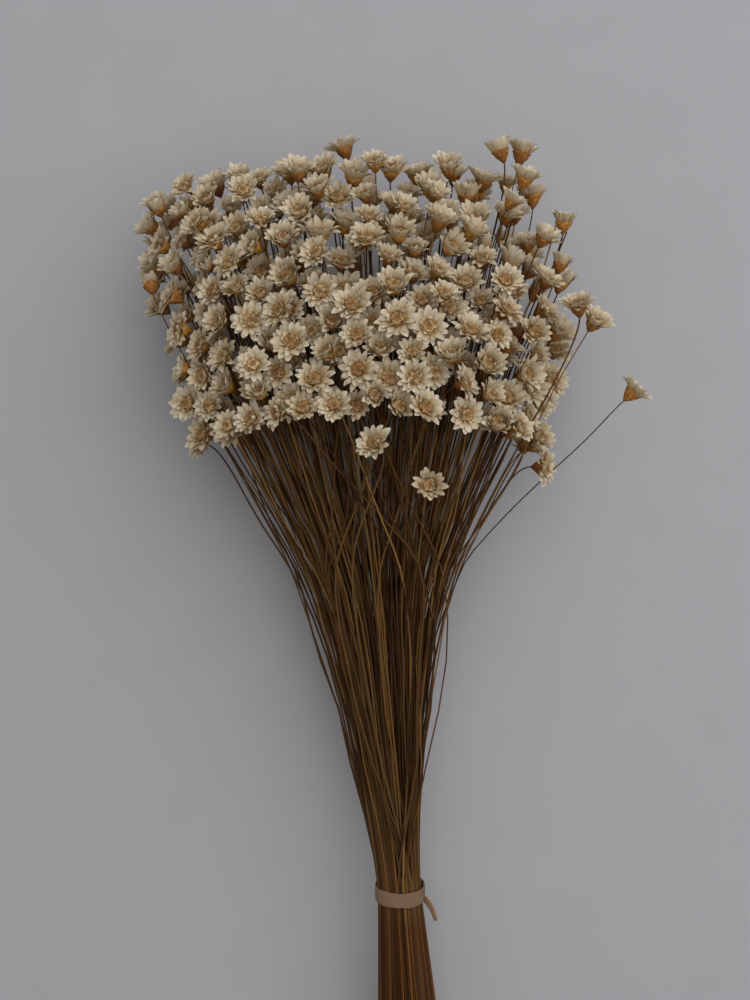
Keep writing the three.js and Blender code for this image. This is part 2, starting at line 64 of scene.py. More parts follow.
MM = 0.001
SPRAYS, PER_SPRAY, ROWS = 16, 20, (1, 2, 3, 4, 5, 5)
CUT_END, TIE_RADIUS, CUT_RADIUS = -122.0, 7.5, 17.0
MID_KNOT, FLARE_END, FLARE_POWER, HUG = 118.0, 250.0, 1.8, 0.88
AXIS_HEIGHT, AXIS_RISE, AXIS_LEAN = 23.8, 0.062, -0.068
HEAD_LOW, HEAD_LOW_DROP = 163.0, 9.0
HEAD_TOP, HEAD_TOP_LEAN, HEAD_TOP_DROP = 245.0, 2.0, 10.0
HEAD_WIDTH_LOW, HEAD_WIDTH_GAIN, HEAD_WIDTH_POWER = 57.0, 14.0, 0.9
HEAD_DEPTH, HEAD_DEPTH_REACH, HEAD_DEPTH_POWER = 34.0, 0.92, 2.4
HEAD_EDGE, HEAD_LAYER, FIRST_LAYER, UNDER_CLEAR = 3.0, 17.0, 12.0, 6.0
CUP_DEPTH = 4.7
FRONT_BLOOMS, UNDER_BLOOMS, SEED = 229, 80, 7

# How far the blooms lean out of the bunch and turn to its sides, in degrees, and how much that varies.
FRONT_LEAN, FRONT_LEAN_FALL, RIGHT_LEAN_FALL, FRONT_LEAN_POWER = 80.0, 38.0, 24.0, 1.4
UNDER_LEAN, UNDER_LEAN_FALL, SIDE_TURN = 46.0, 22.0, 40.0
LEAN_JITTER, TURN_JITTER = 22.0, 40.0

# Sizes as a share of the common bloom, and how far the most closed bloom is shut.
LEAST_SIZE, SIZE_RANGE, LEAST_STRAY_SIZE, STRAY_SIZE_RANGE = 0.84, 0.3, 0.95, 0.15
MOST_CLOSED, CLOSED_POWER = 0.5, 3

# The generator of the draws, and the two irrational steps that scatter points evenly over a square: one
# over the plastic number, which is the real root of p^3 = p + 1, and one over its square.
LEHMER_FACTOR, LEHMER_MODULUS = 48271, 2147483647
STEP_ACROSS, STEP_UP, FIRST_POINT = 0.7548776662466927, 0.5698402909980532, 0.5
SCATTER_DRAWS, STRAY_DRAWS = 8, 2


# %% Draws, and the middle line and flare of the stems
def draws(seed):
    """Endless numbers from 0 to 1: the state is multiplied by the factor, and what is left over the modulus
    is kept."""
    state = seed
    while True:
        state = state * LEHMER_FACTOR % LEHMER_MODULUS
        yield state / LEHMER_MODULUS


def axis_x(y):
    return AXIS_LEAN * y


def axis_z(y):
    return AXIS_HEIGHT + AXIS_RISE * y


def flare(y):
    """How far a stem has left its place at the band, as a share of its whole way out: a power of the
    height."""
    return np.maximum(0.0, y / FLARE_END) ** FLARE_POWER


# %% [markdown]
# The head is a shell with two parameters: u runs across it from -1 to 1 and v up it from 0 to 1. Its lower
# rim hangs at the sides, its top is slightly arched, and underneath it is flattened where the bunch lies.

# %% The shell that the blooms stand on
def head_low(u):
    return HEAD_LOW - HEAD_LOW_DROP * u * u


def head_top(u):
    return HEAD_TOP + HEAD_TOP_LEAN * u - HEAD_TOP_DROP * u**4


def head_width(v):
    return HEAD_WIDTH_LOW + HEAD_WIDTH_GAIN * np.sin(0.5 * np.pi * v**HEAD_WIDTH_POWER)


def head_depth(u, v, y, side):
    """A dome: its depth falls as the root of one less a power of u, and of one less the square of v. The
    underside never reaches nearer the surface than the blooms need."""
    along_rib = np.sqrt(1 - (HEAD_DEPTH_REACH * v) ** 2)
    across_rib = np.sqrt(1 - np.minimum(1.0, np.abs(u)) ** HEAD_DEPTH_POWER)
    dome = HEAD_DEPTH * along_rib * across_rib + HEAD_EDGE
    return np.where(side > 0, dome, np.minimum(dome, axis_z(y) - UNDER_CLEAR))


def scatter(count, side, draw):
    """An even scatter over the shell: the multiples of two irrational steps, kept between 0 and 1. Each
    flower gets its own depth, lean, turn, size, openness and spin."""
    step = np.arange(1, count + 1)
    u = 2 * ((FIRST_POINT + step * STEP_ACROSS) % 1.0) - 1
    v = (FIRST_POINT + step * STEP_UP) % 1.0
    y = head_low(u) + v * (head_top(u) - head_low(u))
    d = np.array([next(draw) for _ in range(SCATTER_DRAWS * count)]).reshape(count, SCATTER_DRAWS)
    side = np.full(count, float(side))
    return {
        "side": side, "free": np.ones(count, bool), "blooms": np.ones(count, bool),
        "hug": np.full(count, HUG),
        "x": axis_x(y) + u * head_width(v), "y": y,
        "z": axis_z(y) + side * (head_depth(u, v, y, side) - FIRST_LAYER * d[:, 0]),
        "out": np.zeros(count), "turn": np.zeros(count),
        "out_jitter": LEAN_JITTER * (d[:, 1] + d[:, 2] - 1),
        "turn_jitter": TURN_JITTER * (d[:, 3] + d[:, 4] - 1),
        "size": LEAST_SIZE + SIZE_RANGE * d[:, 5], "open": 1 - MOST_CLOSED * d[:, 6] ** CLOSED_POWER,
        "spin": 360 * d[:, 7],
    }


# %% Flowers that stand out of the head, at given places
# Each is the place of the bloom across, along and up from the stems' middle line, then how far its face
# leans out of the bunch and turns to the right, in degrees, and how near the middle of the bundle its stem
# stays, as a share of its even way. The bare ones are stems whose blooms have broken off.
STRAYS = [
    (77, 170, 15, 48, 75, 0.66), (48, 145, 12, 95, 60, 0.72), (64, 193, 16, 52, 30, HUG),
    (57, 197, 24, 35, -20, HUG), (9, 138, 28, 84, 4, HUG), (-9, 151, 35, 70, -30, HUG),
    (41, 252, 4, 16, 60, HUG), (33, 251, 10, 22, -60, HUG), (-19, 253, 5, 18, -80, HUG),
]
BARE = [(54, 233, 12, 20, 60, HUG), (58, 229, 2, 24, 80, HUG)]


def hand_placed(entries, blooms, draw):
    """Flowers at given places, which nothing pushes."""
    x, y, z, out, turn, hug = np.array(entries, float).T
    d = np.array([next(draw) for _ in range(STRAY_DRAWS * len(entries))]).reshape(-1, STRAY_DRAWS)
    return {
        "side": np.ones(len(x)), "free": np.zeros(len(x), bool), "blooms": np.full(len(x), blooms),
        "x": x, "y": y, "z": axis_z(y) + z, "out": out, "turn": turn, "hug": hug,
        "out_jitter": np.zeros(len(x)), "turn_jitter": np.zeros(len(x)),
        "size": LEAST_STRAY_SIZE + STRAY_SIZE_RANGE * d[:, 0], "open": np.ones(len(x)), "spin": 360 * d[:, 1],
    }


# %% [markdown]
# ## Pushing the blooms apart
#
# A bloom takes up a flat ellipsoid. Wherever two of them overlap, each is moved half of the way out, and a
# smaller ellipsoid keeps other flowers' stems from running through it. After a few hundred small moves
# nothing overlaps, and the blooms lie in the loose tiers of a real bunch. All pairs are worked out at once
# as arrays.

# %% Room that flowers keep from each other
FIRST_ROUNDS, LAST_ROUNDS, STEP, MOST_PUSH = 200, 120, 0.4, 1.6
BLOOM_LATERAL, BLOOM_AXIAL = 10.5, 7.3
STEM_LATERAL, STEM_AXIAL, STEM_BELOW, STEM_APART = 7.0, 5.4, 0.6, 1.5
TAIL_STEPS = np.array([2.5, 5.5, 9, 13, 18, 24, 31, 39])
TAIL_REACH = 48.0
GRID, TINY, SHELL_PASSES = 10000, 1e-12, 3


def length(vectors):
    return np.sqrt(np.sum(vectors * vectors, axis=-1))


def unit(vectors):
    return vectors / np.maximum(length(vectors), TINY)[..., None]


def snap(values):
    """Rounds to a ten-thousandth of a millimetre after each move. Otherwise the last digits grow from round
    to round, and the blooms here would drift from the solids that they cover."""
    return np.floor(values * GRID + 0.5) / GRID


def stand(f):
    """Where each flower's parts are. The face looks out of the bunch by the lean and sideways by the turn;
    the base, where the stem enters the cup, is the cup's depth behind the centre; down points along the
    stem, to its knot. A flower at a given place keeps its first direction."""
    out, turn = np.radians(f["out"]), np.radians(f["turn"])
    toward_front = f["side"] * np.sin(out) * np.cos(turn)
    f["face"] = np.stack([np.sin(out) * np.sin(turn), np.cos(out), toward_front], axis=1)
    f["centre"] = np.stack([f["x"], f["y"], f["z"]], axis=1)
    f["base"] = f["centre"] - f["face"] * (CUP_DEPTH * f["size"])[:, None]
    if "knot" in f:
        knot = f["knot"]
    else:
        x, y, z = f["base"].T
        nearer = flare(MID_KNOT) / flare(y)
        knot = np.stack([
            axis_x(MID_KNOT) + (x - axis_x(y)) * nearer, np.full(len(y), MID_KNOT),
            axis_z(MID_KNOT) + (z - axis_z(y)) * nearer,
        ], axis=1)
    down = unit(knot - f["base"])
    f["down"] = np.where(f["free"][:, None], down, f.get("down", down))


def settle(f):
    """Puts the flowers of the head back on its shell and turns them to face out of it: straight out at the
    lower rim, half along the bunch at the top."""
    u, v = np.zeros(len(f["x"])), np.full(len(f["x"]), 0.5)
    for _ in range(SHELL_PASSES):
        u = np.clip((f["x"] - axis_x(f["y"])) / head_width(v), -1, 1)
        v = np.clip((f["y"] - head_low(u)) / (head_top(u) - head_low(u)), 0, 1)
    y = snap(head_low(u) + v * (head_top(u) - head_low(u)))
    depth = head_depth(u, v, y, f["side"])
    off = f["side"] * (f["z"] - axis_z(y))
    front_lean = FRONT_LEAN - (FRONT_LEAN_FALL + RIGHT_LEAN_FALL * u) * v**FRONT_LEAN_POWER
    lean = np.where(f["side"] > 0, front_lean, UNDER_LEAN - UNDER_LEAN_FALL * v)
    for name, value in {
        "x": snap(axis_x(y) + u * head_width(v)), "y": y,
        "z": snap(axis_z(y) + f["side"] * np.clip(off, depth - HEAD_LAYER, depth)),
        "out": lean + f["out_jitter"], "turn": SIDE_TURN * u + f["turn_jitter"],
    }.items():
        f[name] = np.where(f["free"], value, f[name])
    stand(f)


def repel(offset, axis, across, along):
    """Half the move that takes each offset out of an ellipsoid of revolution: (1 - reach) of its radius
    across, along the ellipsoid's own slope there."""
    axial = np.sum(offset * axis, axis=1)
    lateral = offset - axis * axial[:, None]
    reach = np.sqrt(np.sum(lateral**2, axis=1) / across**2 + (axial / along) ** 2)
    slope = unit(lateral / across[:, None] ** 2 + axis * (axial / along**2)[:, None])
    return slope * np.where(reach < 1, 0.5 * (1 - reach) * across, 0.0)[:, None]


def relax(f, rounds):
    count = len(f["x"])
    for _ in range(rounds):
        centre, face, base, down = f["centre"], f["face"], f["base"], f["down"]
        near = length(centre[:, None] - centre[None]) <= TAIL_REACH
        np.fill_diagonal(near, False)
        i, j = np.nonzero(near)
        push = np.zeros((count, 3))

        both = (i < j) & f["blooms"][i] & f["blooms"][j]
        a, b = i[both], j[both]
        across = 0.5 * BLOOM_LATERAL * (f["size"][a] + f["size"][b])
        shove = repel(centre[a] - centre[b], unit(face[a] + face[b]), across, BLOOM_AXIAL)
        np.add.at(push, a, shove)
        np.add.at(push, b, -shove)

        tails = base[:, None] + down[:, None] * TAIL_STEPS[None, :, None]
        hearts = centre - face * STEM_BELOW
        bloom_room = STEM_LATERAL * f["size"] * f["blooms"]
        for spot, axis, room in ((hearts, face, bloom_room), (base, down, np.full(count, STEM_APART))):
            offset = spot[i][:, None] - tails[j]
            widest = max(room.max(), STEM_AXIAL)
            pair, step = np.nonzero((np.sum(offset**2, axis=2) < widest**2) & (room[i] > 0)[:, None])
            a, b = i[pair], j[pair]
            shove = repel(offset[pair, step], axis[a], room[a], STEM_AXIAL)
            np.add.at(push, a, shove)
            np.add.at(push, b, -shove)

        push *= STEP
        push *= (np.minimum(length(push), MOST_PUSH) / np.maximum(length(push), TINY))[:, None]
        for name, along in zip("xyz", push.T):
            f[name] = np.where(f["free"], f[name] + along, f[name])
        settle(f)


# %% [markdown]
# ## Dealing the stems to their places in the band
#
# A bunch is tied from sprays, and in a spray no stem crosses another. So the flowers are dealt by rank, not
# by chance: by their angle round the bunch into sixteen sprays, then by distance from the middle into rows,
# and by angle again within a row. The places in the band are numbered in the same order.

# %% Sprays, and each stem's place in the band
REACH_X, REACH_Z, OUTER_ROW = 103.0, 60.0, 7.05
STEM_SPACE, SPREAD_PASSES = 1.1, 60


def measure_reach(f):
    """Where each stem would be at the end of the flare if it went on past its bloom, off the middle
    line."""
    x, y, z = f["base"].T
    share = flare(y)
    f["reach"] = np.stack([
        (x - axis_x(y) - f["tie"][:, 0] * (1 - share)) / share,
        (z - axis_z(y) - f["tie"][:, 1] * (1 - share)) / share,
    ], axis=1)


def deal(f):
    """Gives each flower its spray and its place in the band, a radius and an angle from the rank of its
    row."""
    f["tie"] = np.zeros((len(f["x"]), 2))
    measure_reach(f)
    across, up = f["reach"][:, 0] / REACH_X, f["reach"][:, 1] / REACH_Z
    angle, radius = np.arctan2(up, across), np.hypot(across, up)
    sprays = np.argsort(angle).reshape(SPRAYS, PER_SPRAY)
    sprays = np.take_along_axis(sprays, np.argsort(radius[sprays], axis=1), axis=1)
    sector, start = 2 * np.pi / SPRAYS, 0
    for size in ROWS:
        row = sprays[:, start:start + size]
        row = np.take_along_axis(row, np.argsort(angle[row], axis=1), axis=1)
        sprays[:, start:start + size] = row
        tie_radius = OUTER_ROW * np.sqrt((start + 0.5 * size) / PER_SPRAY)
        tie_angle = -np.pi + sector * (np.arange(SPRAYS)[:, None] + (np.arange(size) + 0.5) / size)
        f["tie"][row] = tie_radius * np.stack([np.cos(tie_angle), np.sin(tie_angle)], axis=2)
        start += size
    measure_reach(f)
    return sprays


def spread_knots(f):
    """Where the stems pass the height of their knots, each moved half of what it lacks of the room between
    two."""
    share = flare(MID_KNOT)
    place = f["tie"] * (1 - share) + f["reach"] * share * f["hug"][:, None]
    for _ in range(SPREAD_PASSES):
        apart = place[:, None] - place[None]
        short = np.maximum(0.0, STEM_SPACE - length(apart))
        place = place + np.sum(unit(apart) * 0.5 * short[:, :, None], axis=1)
    x, z = snap(axis_x(MID_KNOT) + place[:, 0]), snap(axis_z(MID_KNOT) + place[:, 1])
    return np.stack([x, np.full(len(x), MID_KNOT), z], axis=1)


# %% The flowers of the bunch
draw = draws(SEED)
groups = [
    scatter(FRONT_BLOOMS, 1, draw), scatter(UNDER_BLOOMS, -1, draw),
    hand_placed(STRAYS, True, draw), hand_placed(BARE, False, draw),
]
flowers = {name: np.concatenate([group[name] for group in groups]) for name in groups[0]}
settle(flowers)
relax(flowers, FIRST_ROUNDS)
sprays = deal(flowers)
flowers["knot"] = spread_knots(flowers)
relax(flowers, LAST_ROUNDS)
print(len(flowers["x"]), "flowers,", int(flowers["blooms"].sum()), "with a bloom, in", len(sprays), "sprays")


# %% [markdown]
# ## From millimetres to the frame
#
# The flowers are placed about the middle of the band. The band is a solid of the frame, and its box tells
# where its middle is there, so one shift carries everything over.

# %% The shift from the band's middle to the frame
BAND_INNER, BAND_THICKNESS, BAND_WIDTH = 7.9, 0.6, 4.2
band_low, band_high = (np.array(corner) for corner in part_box("tie_band"))
band_outer = BAND_INNER + BAND_THICKNESS
SHIFT = np.array([
    band_low[0] + band_outer * MM,
    band_high[1] - 0.5 * BAND_WIDTH * MM,
    band_low[2] + (band_outer - AXIS_HEIGHT) * MM,
])
print("shift in metres:", SHIFT.round(5))


# %% [markdown]
# ## Putting a surface into a mesh
#
# Every piece below is one array of points and a few arrays of corner numbers. Blender takes such arrays
# whole, which is far quicker than adding faces one by one. A shape that is repeated is worked out once as a
# template of corner numbers, and each copy's numbers are the template's plus the number of points before
# it.

# %% Mesh helpers
import bpy


def copies(template, count, points_each):
    """Corner numbers for many copies of a shape: the template's own, plus the number of points in the
    copies before."""
    start = np.arange(count)[:, None, None] * points_each
    return (np.asarray(template)[None] + start).reshape(-1, len(template[0]))


def quads_of(grid):
    """The quads between the rows and columns of an array of point numbers, row by row."""
    return np.stack([grid[:-1, :-1], grid[:-1, 1:], grid[1:, 1:], grid[1:, :-1]], axis=2).reshape(-1, 4)


def closed_tube(rings, sides):
    """Corner numbers of a tube: its walls, and a fan over each end. The two middles of the fans are
    numbered after the points of the rings."""
    number = np.arange(rings * sides).reshape(rings, sides)
    walls = quads_of(np.pad(number, ((0, 0), (0, 1)), mode="wrap"))
    first, last = np.full(sides, rings * sides), np.full(sides, rings * sides + 1)
    low_end = np.stack([np.roll(number[0], -1), number[0], first], axis=1)
    high_end = np.stack([number[-1], np.roll(number[-1], -1), last], axis=1)
    return [walls, np.concatenate([low_end, high_end])]


SHARP_EDGE = np.radians(50)


def add_piece(name, points, faces, uv, tone, finish):
    """Makes a mesh object from points in millimetres, arrays of quads or triangles, a map and a number for
    each point."""
    points = points.reshape(-1, 3) * MM + SHIFT
    corners = np.concatenate([part.ravel() for part in faces]).astype(np.int32)
    sides = np.concatenate([np.full(len(part), part.shape[1], np.int32) for part in faces])
    mesh = bpy.data.meshes.new(name)
    mesh.vertices.add(len(points))
    mesh.vertices.foreach_set("co", points.ravel())
    mesh.loops.add(len(corners))
    mesh.loops.foreach_set("vertex_index", corners)
    mesh.polygons.add(len(sides))
    mesh.polygons.foreach_set("loop_start", (np.cumsum(sides) - sides).astype(np.int32))
    mesh.polygons.foreach_set("use_smooth", np.ones(len(sides), bool))
    mesh.update(calc_edges=True)
    mesh.uv_layers.new(name="surface").data.foreach_set("uv", uv.reshape(-1, 2)[corners].ravel())
    mesh.attributes.new("tone", "FLOAT", "POINT").data.foreach_set("value", tone.ravel())
    mesh.set_sharp_from_angle(angle=SHARP_EDGE)
    mesh.materials.append(finish)
    piece = bpy.data.objects.new(name, mesh)
    bpy.context.scene.collection.objects.link(piece)
    return piece


def triangle_count(piece):
    return sum(len(face.vertices) - 2 for face in piece.data.polygons)


# %% [markdown]
# ## Stems
#
# A stem of the real plant is a dry wire half a millimetre thick: straight where it is packed in the band,
# fanning out above it, and hooked over in its last millimetres where the bloom looks to the side. It could
# be a curve object with a bevel, but three hundred curves are slow and have open ends. Here each stem is a
# tube on a path of three stretches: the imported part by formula, then two cubic curves, to the knot and on
# to the cup. No stem is quite straight, so a slow wave is added between the band and the bloom, and a few
# stems on top stray across the others.

# %% The paths of the stems
LOW_LEVELS = np.array([CUT_END, -104.0, -84.0, -60.0, -36.0, -14.0, -3.0, 6.0])
RISE_STEPS = np.array([0.14, 0.28, 0.42, 0.55, 0.67, 0.77, 0.85, 0.93, 1.0])
TOP_STEPS = np.array([0.07, 0.15, 0.24, 0.35, 0.47, 0.58, 0.68, 0.77, 0.85, 0.91, 0.96, 1.0])
LEAVE_HANDLE, ARRIVE_HANDLE, HEAD_HANDLE = 0.11, 0.25, 0.5
SNUG, NECK_BOW = 1.08, 0.3
HOOK, MOST_HOOK, ROOT_IN_CUP = 9.0, 0.3, 0.5

# The straying stems are the highest at the knots, but for a random part of their rank and less toward the
# sides. Most of them cross the middle.
STRAYING, RANK_SPREAD, SIDE_FALL, CROSSING = 16, 3, 0.2, 0.75
STRAY_ACROSS, ACROSS_RANGE = 20.0, (0.4, 1.1)
STRAY_ABOVE, ABOVE_RANGE = 4.0, (0.5, 1.3)

# The slow wave starts above the band, grows over a distance and dies away toward the cup. It is lower below
# the band and lower upright than sideways, and a few stems have a much higher one.
WAVE_START, WAVE_GROWS, WAVE_DIES, WAVE_BELOW, WAVE_UPRIGHT = 12, 60, 26, 0.5, 0.7
WAVE_HEIGHT, RARE_HEIGHT, RARITY = (0.15, 0.9), 2.0, 10
WAVE_LENGTH = (38, 95)


def tie_point(tie, y):
    """Where a packed stem is at a height: its own place, pushed out to fill the band, spread evenly to the
    cut end."""
    spread = SNUG + (CUT_RADIUS / TIE_RADIUS - SNUG) * np.minimum(0.0, y) / CUT_END
    x = axis_x(y) + tie[:, :1] * spread
    z = axis_z(y) + tie[:, 1:] * spread
    return np.stack([x, np.broadcast_to(y, x.shape), z], axis=2)


def cubic(ends, steps):
    """A cubic Bezier curve through its first and last points. With t going from 0 to 1, the first point
    counts by the cube of one less t, the last by the cube of t, and the two between by three times the
    products of one of them and the other's square."""
    t = steps[None, :, None]
    a, b, c, d = (end[:, None] for end in ends)
    return a * (1 - t) ** 3 + b * 3 * t * (1 - t) ** 2 + c * 3 * t * t * (1 - t) + d * t**3


def straying_knots(f, rng):
    """The knots, with those of a few stems on top of the bundle moved to one side and up, over the other
    stems."""
    knot = f["knot"].copy()
    height = knot[:, 2] - axis_z(MID_KNOT) - SIDE_FALL * np.abs(knot[:, 0] - axis_x(MID_KNOT))
    upper = np.argsort(height + rng.normal(0, RANK_SPREAD, len(height)))[-STRAYING:]
    side = np.sign(axis_x(MID_KNOT) - knot[upper, 0]) * np.where(rng.random(STRAYING) < CROSSING, 1, -1)
    knot[upper, 0] += side * STRAY_ACROSS * rng.uniform(*ACROSS_RANGE, STRAYING)
    knot[upper, 2] += STRAY_ABOVE * rng.uniform(*ABOVE_RANGE, STRAYING)
    return knot


def stem_paths(f, rng):
    """The points of each stem from its cut end to its cup, with the neck's bow and the slow wave added."""
    low = tie_point(f["tie"], LOW_LEVELS)
    start, knot = low[:, -1], straying_knots(f, rng)
    top = f["base"] + f["face"] * ROOT_IN_CUP
    along = unit(top - knot)
    to_knot, to_top = length(knot - start)[:, None], length(top - knot)[:, None]
    leave = start + np.array([AXIS_LEAN, 1.0, AXIS_RISE]) * LEAVE_HANDLE * to_knot
    arrive = knot - along * ARRIVE_HANDLE * to_knot
    rise = cubic([start, leave, arrive, knot], RISE_STEPS)
    hook = np.minimum(HOOK, MOST_HOOK * to_top)
    head = cubic([knot, knot + along * HEAD_HANDLE * to_top, top - f["face"] * hook, top], TOP_STEPS)
    path = np.concatenate([low, rise, head], axis=1)

    # The whole neck bows a little to the left: half a sine from the band to the knots.
    count = len(path)
    y = path[:, :, 1]
    path[:, :, 0] -= NECK_BOW * np.sin(np.pi * np.clip(y / MID_KNOT, 0, 1))

    # The slow wave has no height in the band and at the cup, and it grows by a smooth step.
    above = np.clip((y - WAVE_START) / WAVE_GROWS, 0, 1)
    above = above * np.clip(length(path - top[:, None]) / WAVE_DIES, 0, 1)
    below = WAVE_BELOW * np.clip((-WAVE_START - y) / WAVE_GROWS, 0, 1)
    height = rng.uniform(*WAVE_HEIGHT, (count, 1)) + RARE_HEIGHT * rng.random((count, 1)) ** RARITY
    wave_length = rng.uniform(*WAVE_LENGTH, (count, 1))
    phase = rng.uniform(0, 2 * np.pi, (count, 2))
    wave = height * (above**2 * (3 - 2 * above) + below)
    path[:, :, 0] += wave * np.sin(2 * np.pi * y / wave_length + phase[:, :1])
    path[:, :, 2] += WAVE_UPRIGHT * wave * np.sin(2 * np.pi * y / wave_length + phase[:, 1:])
    return path


# %% The tubes of the stems
# The radius at the cut end, at the band and under the cup, as shares of the common one, and how much stems
# differ.
STEM_SIDES, STEM_RADIUS = 6, 0.31
STEM_TAPER, STEM_RANGE = (1.12, 1.0, 0.72), (0.8, 1.25)
CM_PER_MM = 0.1


def stem_tubes(path, thickness):
    """Rings of six points about each path. The first ring's upright is carried along and kept square to the
    path, so a tube never twists."""
    count, rings = path.shape[:2]
    ahead = unit(np.gradient(path, axis=1))
    frames = np.empty((count, rings, 2, 3))
    upright = np.tile([1.0, 0.0, 0.0], (count, 1))
    for ring in range(rings):
        tangent = ahead[:, ring]
        upright = unit(upright - tangent * np.sum(upright * tangent, axis=1)[:, None])
        frames[:, ring, 0] = upright
        frames[:, ring, 1] = np.cross(tangent, upright)
    angle = np.arange(STEM_SIDES) * 2 * np.pi / STEM_SIDES
    around = frames[:, :, 0, None] * np.cos(angle)[:, None] + frames[:, :, 1, None] * np.sin(angle)[:, None]
    return path[:, :, None] + around * thickness[:, :, None, None]


def make_stems(f, rng):
    path = stem_paths(f, rng)
    count, rings = path.shape[:2]
    taper = np.interp(np.arange(rings), [0, len(LOW_LEVELS), rings - 1], STEM_TAPER)
    thickness = STEM_RADIUS * taper * rng.uniform(*STEM_RANGE, (count, 1))
    points = stem_tubes(path, thickness).reshape(count, rings * STEM_SIDES, 3)
    points = np.concatenate([points, path[:, :1], path[:, -1:]], axis=1)
    way = np.concatenate([np.zeros((count, 1)), np.cumsum(length(np.diff(path, axis=1)), axis=1)], axis=1)
    around = np.arange(STEM_SIDES) / STEM_SIDES
    uv = np.stack(np.broadcast_arrays(around, way[:, :, None] * CM_PER_MM), axis=3).reshape(count, -1, 2)
    ends = np.stack([np.zeros((count, 2)), np.ones((count, 2))], axis=1)
    tone = np.repeat(rng.random((count, 1)), points.shape[1], axis=1)
    return points, closed_tube(rings, STEM_SIDES), np.concatenate([uv, ends], axis=1), tone


rng = np.random.default_rng(SEED)
stems = make_stems(flowers, rng)
print("stem points and faces each:", stems[0].shape[1], [len(part) for part in stems[1]])


# %% [markdown]
# ## Cups
#
# Under its petals the bloom is a little golden top, wide at the petals and drawn in to the stem, of dry
# scales that overlap like roof tiles. A turned profile gives it, with every second point of a ring pushed
# out by one scale's thickness and the next ring pushed out the other way. The scales' own edges are left to
# the material.

# %% Cups
CUP_SIDES = 12
CUP_LEVELS = np.array([-4.75, -4.3, -3.5, -2.5, -1.5, -0.6, -0.3, -0.7])
CUP_RADII = np.array([0.33, 0.72, 1.32, 1.95, 2.48, 2.86, 2.7, 1.6])
SCALE_RELIEF, SCALE_SPREAD = 0.08, 0.02
SKEW = [0.31, 0.42, 0.85]


def bloom_axes(f):
    """Two directions square to each bloom's face and to each other, turned by its spin, and the face itself.
    They start from a skew direction, which isn't quite any bloom's own."""
    first = unit(np.cross(f["face"], SKEW))
    second = np.cross(f["face"], first)
    spin = np.radians(f["spin"])[:, None]
    spun_first = first * np.cos(spin) + second * np.sin(spin)
    spun_second = second * np.cos(spin) - first * np.sin(spin)
    return spun_first, spun_second, f["face"]


def turned(f, levels, radii, sides, relief, spread, rng):
    """A profile turned about each bloom's face. The radius is multiplied by one plus or minus the relief
    from point to point, and by a draw about one with the given spread."""
    first, second, face = bloom_axes(f)
    count, rings = len(f["size"]), len(levels)
    angle = (np.arange(sides) + 0.5 * (np.arange(rings)[:, None] % 2)) * 2 * np.pi / sides
    push = 1 + relief * np.where((np.arange(sides) + np.arange(rings)[:, None]) % 2, 1, -1)
    radius = radii[:, None] * push * rng.normal(1, spread, (count, rings, sides))
    size = f["size"][:, None, None, None]
    ring = first[:, None, None] * (radius * np.cos(angle))[..., None]
    ring = ring + second[:, None, None] * (radius * np.sin(angle))[..., None]
    rise = face[:, None, None] * levels[None, :, None, None]
    points = f["centre"][:, None, None] + (ring + rise) * size
    tips = f["centre"][:, None] + face[:, None] * (levels[[0, -1]] * f["size"][:, None])[..., None]
    uv = np.stack(np.broadcast_arrays(angle / (2 * np.pi), np.linspace(0, 1, rings)[:, None]), axis=2)
    uv = np.concatenate([uv.reshape(-1, 2), [[0.5, 0.0], [0.5, 1.0]]])
    points = np.concatenate([points.reshape(count, -1, 3), tips], axis=1)
    tone = np.repeat(rng.random((count, 1)), points.shape[1], axis=1)
    return points, closed_tube(rings, sides), np.repeat(uv[None], count, axis=0), tone


cups = turned(flowers, CUP_LEVELS, CUP_RADII, CUP_SIDES, SCALE_RELIEF, SCALE_SPREAD, rng)
print("cup faces each:", [len(part) for part in cups[1]])


# %% [markdown]
# ## Discs
#
# The middle of an open bloom is a low tan cushion of florets that have gone to seed. Seen from a step away
# it is only a rough dome, so it is the same turned shape with few sides and a deep, uneven relief.

# %% Discs
DISC_SIDES = 10
DISC_LEVELS = np.array([-0.6, 0.35, 0.75, 0.55])
DISC_RADII = np.array([2.1, 2.15, 1.6, 0.7])
FLORET_RELIEF, FLORET_SPREAD = 0.13, 0.09
discs = turned(flowers, DISC_LEVELS, DISC_RADII, DISC_SIDES, FLORET_RELIEF, FLORET_SPREAD, rng)
print("disc faces each:", [len(part) for part in discs[1]])


# %% [markdown]
# ## Petals
#
# What look like petals are dry papery bracts, 34 to a bloom in three rings that overlap like the petals of
# a water lily. Each one starts inside the cup, runs along an arc and ends broad and round, with the hint of
# a point, is cupped across like a spoon, and is thin as paper. The blooms of the top are half-open crowns,
# and those of the lower rim lie open, so the arc's angles follow how open a bloom is and where it looks. A
# flat leaf with a Solidify modifier would have square edges. Here the front and the back of a petal share
# their edge, so that it is a closed lens, and all petals of the bunch are worked out in one array.

# %% Rings of petals
# Petals in a ring, then, in millimetres, the radius and height of their roots, and then the petal's angle
# over the plane of the bloom at its root and at its tip, less the angle of the bloom, its length and its
# width.
RINGS = [
    (13, 2.55, -0.70, 16, -4, 4.25, 2.30),
    (12, 2.40, -0.35, 27, 10, 3.60, 2.00),
    (9, 2.15, 0.00, 52, 44, 1.80, 1.55),
]
PETAL_ROWS = np.array([0.0, 0.26, 0.52, 0.76, 0.93, 1.0])
PETAL_COLUMNS = np.array([-1.0, -0.36, 0.36, 1.0])
PETAL_THICKNESS = 0.11
OUTLINE_START, OUTLINE_WAY, OUTLINE_SKEW, OUTLINE_BLUNT = 0.16, 0.825, 1.25, 0.7

